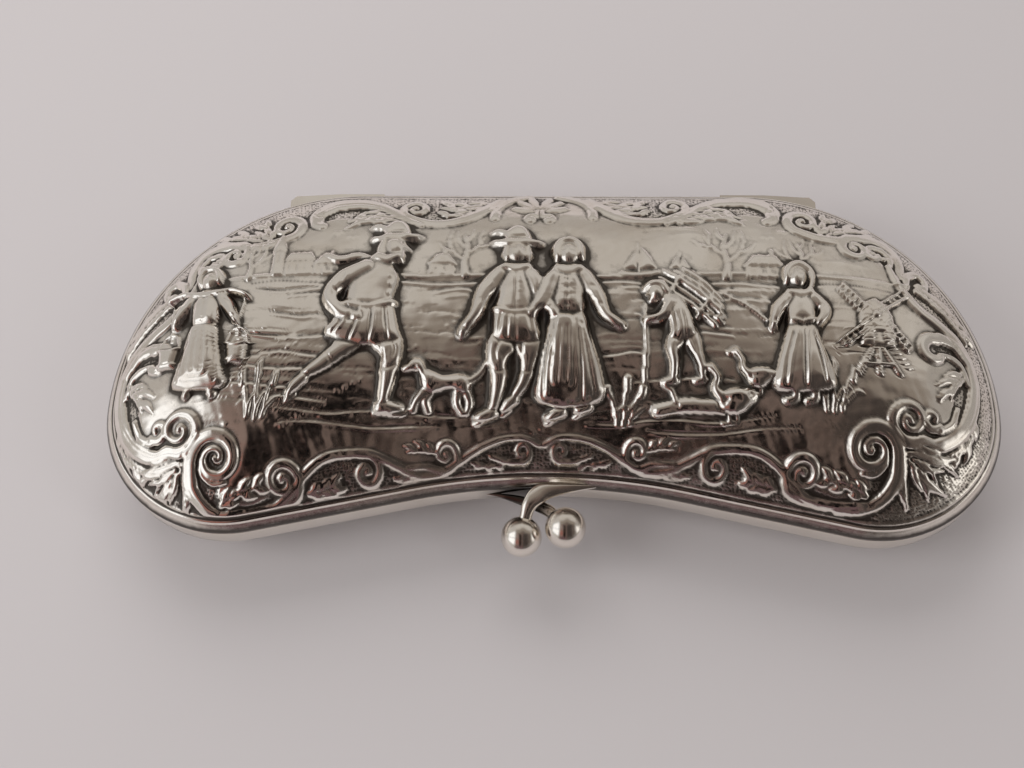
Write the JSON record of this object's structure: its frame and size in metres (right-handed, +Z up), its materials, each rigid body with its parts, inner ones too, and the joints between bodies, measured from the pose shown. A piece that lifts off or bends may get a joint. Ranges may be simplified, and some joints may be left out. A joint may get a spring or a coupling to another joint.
{
  "type": "glasses case",
  "caption": "Kidney-shaped hard glasses case of sheet silver with a domed hinged lid, a tube hinge along the back and a crossed-arm ball clasp at the front.",
  "frame": {"origin": "on the flat underside of the base, on the middle plane of the case's length, level with the base's resting face", "axes": "+X along the length, +Z up through the lid, -Y towards the clasp at the front"},
  "size_m": [0.15, 0.0663, 0.0296],
  "materials": {
    "silver": "polished old silver with dark tarnish in the recesses",
    "lining": "short-pile velvet"
  },
  "bodies": {
    "base": {"base_shell": "silver", "base_rim": "silver", "base_hinge_bearer": "silver", "base_knuckle_1": "silver", "base_knuckle_2": "silver", "base_knuckle_3": "silver", "base_knuckle_4": "silver", "base_clasp_arm": "silver", "base_clasp_ball": "silver", "base_lining": "lining", "hinge_pin": "silver"},
    "lid": {"lid_shell": "silver", "lid_rim": "silver", "lid_hinge_bearer": "silver", "lid_knuckle_1": "silver", "lid_knuckle_2": "silver", "lid_knuckle_3": "silver", "lid_clasp_arm": "silver", "lid_clasp_ball": "silver", "lid_lining": "lining"}
  },
  "joints": [
    {"name": "lid_hinge", "type": "hinge", "parent": "base", "child": "lid", "pos_m": [0, 0.03105, 0.014], "axis": [-1, 0, 0], "range_deg": [0, 118]}
  ]
}
